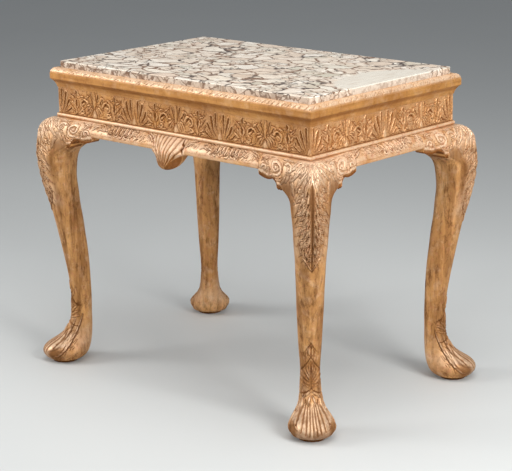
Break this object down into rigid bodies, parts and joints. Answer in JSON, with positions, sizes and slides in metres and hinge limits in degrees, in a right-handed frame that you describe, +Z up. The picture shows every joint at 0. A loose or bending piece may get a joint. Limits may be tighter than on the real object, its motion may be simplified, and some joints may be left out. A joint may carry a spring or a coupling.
{
  "type": "pier table",
  "caption": "Gilded side table with a loose marble slab, carved frieze and apron, cabriole legs with knee brackets and pad feet.",
  "frame": {"origin": "on the floor, under the middle of the table", "axes": "+Z up, X along the long sides, the front with the shell pendant faces -Y"},
  "size_m": [0.9286, 0.6356, 0.76],
  "materials": {
    "marble": "polished breccia, cream and lilac clasts in dark purple veins",
    "gilding": "carved wood with gesso and worn gold leaf",
    "bare_wood": "oxidised bare softwood"
  },
  "bodies": {
    "frame": {"cornice_front": "gilding", "frieze_front": "gilding", "bead_front": "gilding", "cornice_right": "gilding", "frieze_right": "gilding", "bead_right": "gilding", "cornice_back": "gilding", "frieze_back": "gilding", "bead_back": "gilding", "cornice_left": "gilding", "frieze_left": "gilding", "bead_left": "gilding", "apron_front_left": "gilding", "apron_front_right": "gilding", "apron_back": "gilding", "apron_left": "gilding", "apron_right": "gilding", "shell_pendant": "gilding", "leg_front_left": "gilding", "leg_front_right": "gilding", "leg_back_left": "gilding", "leg_back_right": "gilding", "knee_bracket_front_left": "gilding", "knee_bracket_front_right": "gilding", "knee_bracket_right_front": "gilding", "knee_bracket_right_back": "gilding", "knee_bracket_back_right": "gilding", "knee_bracket_back_left": "gilding", "knee_bracket_left_back": "gilding", "knee_bracket_left_front": "gilding", "rail_front": "bare_wood", "rail_right": "bare_wood", "rail_back": "bare_wood", "rail_left": "bare_wood", "bearer_left": "bare_wood", "bearer_right": "bare_wood", "corner_blocks": "bare_wood", "bracket_blocks": "bare_wood", "tenon_pegs": "bare_wood"},
    "slab": {"marble_top": "marble"}
  },
  "joints": [
    {"name": "slab_lift", "type": "slide", "parent": "frame", "child": "slab", "axis": [0, 0, 1], "range_m": [0, 0.12]}
  ]
}
